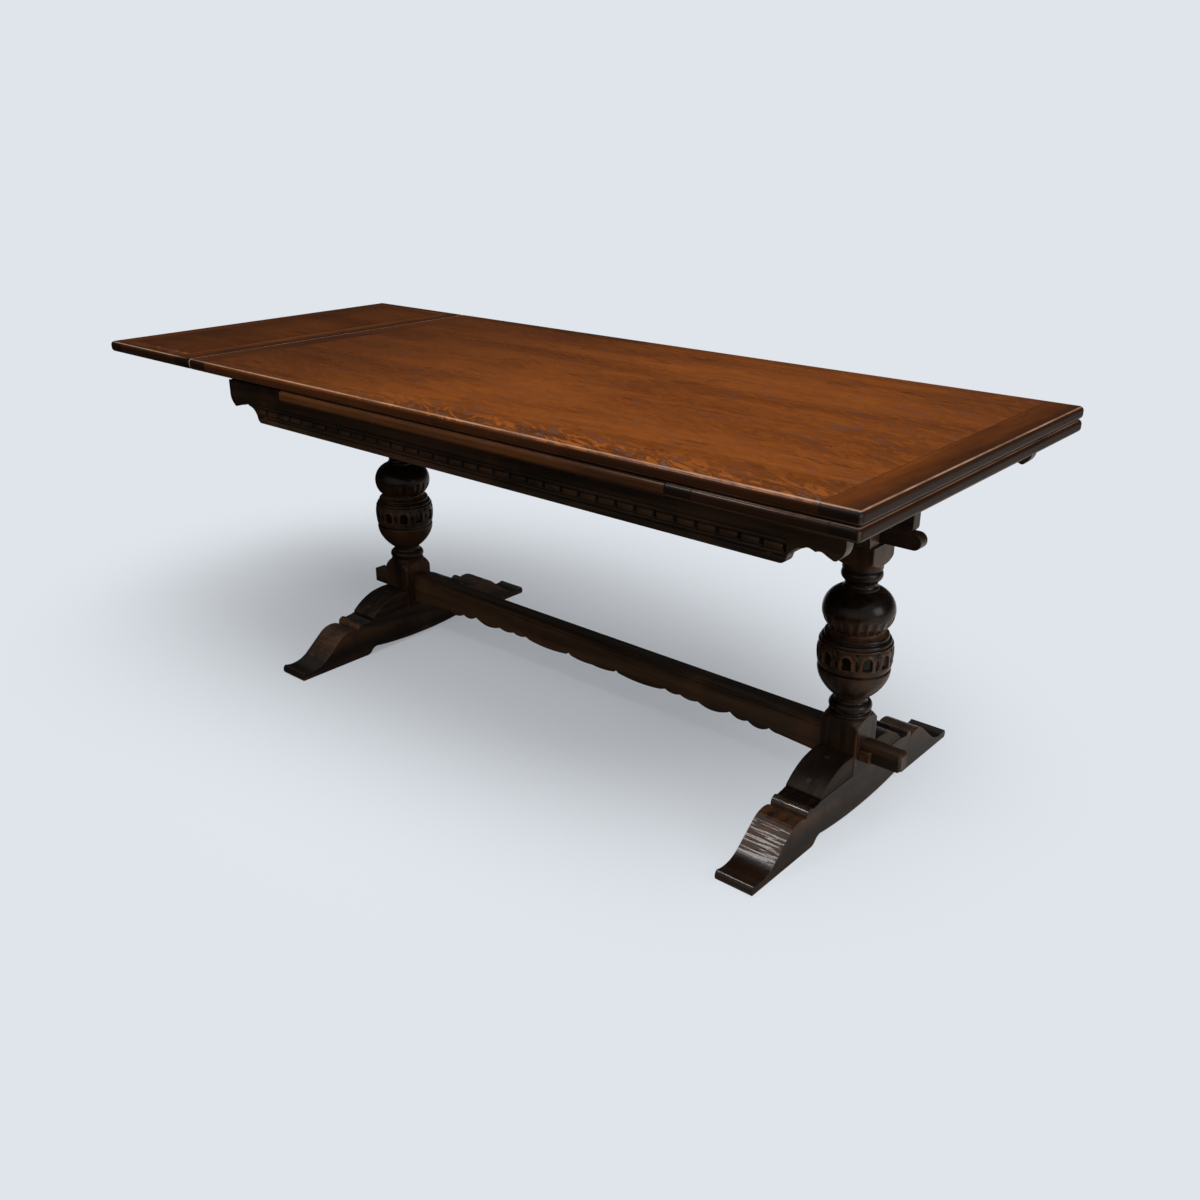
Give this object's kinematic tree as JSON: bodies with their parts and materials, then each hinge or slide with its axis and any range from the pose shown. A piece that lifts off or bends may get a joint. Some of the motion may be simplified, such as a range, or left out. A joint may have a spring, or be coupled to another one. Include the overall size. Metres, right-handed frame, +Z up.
{
  "type": "extending dining table",
  "caption": "Draw-leaf refectory table on turned bulbous pillars with sledge feet and a keyed stretcher; one leaf stands drawn, the other slides out.",
  "frame": {"origin": "on the floor under the middle of the whole length, with the left leaf drawn", "axes": "+X along the table towards the closed leaf, +Y towards the back, +Z up"},
  "size_m": [2.087, 0.864, 0.7621],
  "materials": {
    "top_veneer": "french polished veneer, orange brown, worn and flecked",
    "top_edging": "polished dark oak with paler worn arrises",
    "centre_board_oak": "polished red brown oak",
    "frame_oak": "dark stained and waxed oak",
    "inner_oak": "lightly stained oak, hardly polished",
    "peg_oak": "dark stained oak end grain"
  },
  "bodies": {
    "root": {"centre_board": "centre_board_oak", "apron_front": "frame_oak", "apron_back": "frame_oak", "corner_blocks": "inner_oak", "top_rail": "frame_oak", "centre_bearer": "frame_oak", "stretcher": "frame_oak", "pillars": "frame_oak", "end_rail_left": "inner_oak", "inner_rail_left": "inner_oak", "head_bearer_left": "frame_oak", "foot_left": "frame_oak", "key_left": "peg_oak", "bracket_left_front": "frame_oak", "bracket_left_back": "frame_oak", "end_rail_right": "inner_oak", "inner_rail_right": "inner_oak", "head_bearer_right": "frame_oak", "foot_right": "frame_oak", "key_right": "peg_oak", "bracket_right_front": "frame_oak", "bracket_right_back": "frame_oak", "left_leaf_panel": "top_veneer", "left_leaf_band_front": "top_edging", "left_leaf_band_back": "top_edging", "left_leaf_cleat_inner": "top_edging", "left_leaf_cleat_outer": "top_edging", "left_leaf_loper_front": "inner_oak", "left_leaf_loper_back": "inner_oak", "left_leaf_stop_blocks": "inner_oak"},
    "main_top": {"main_top_panel": "top_veneer", "main_top_band_front": "top_edging", "main_top_band_back": "top_edging", "main_top_cleat_left": "top_edging", "main_top_cleat_right": "top_edging", "guide_pegs": "inner_oak"},
    "right_leaf": {"right_leaf_panel": "top_veneer", "right_leaf_band_front": "top_edging", "right_leaf_band_back": "top_edging", "right_leaf_cleat_inner": "top_edging", "right_leaf_cleat_outer": "top_edging", "right_leaf_loper_front": "inner_oak", "right_leaf_loper_back": "inner_oak", "right_leaf_stop_blocks": "inner_oak"}
  },
  "joints": [
    {"name": "right_leaf_draw", "type": "slide", "parent": "root", "child": "right_leaf", "axis": [0.9974, 0, 0.0727], "range_m": [0, 0.35193]},
    {"name": "main_top_lift", "type": "slide", "parent": "root", "child": "main_top", "axis": [0, 0, 1], "range_m": [0, 0.0257]}
  ],
  "couplings": [
    {"joint": "main_top_lift", "follows": "right_leaf_draw", "ratio": 0.072741}
  ]
}
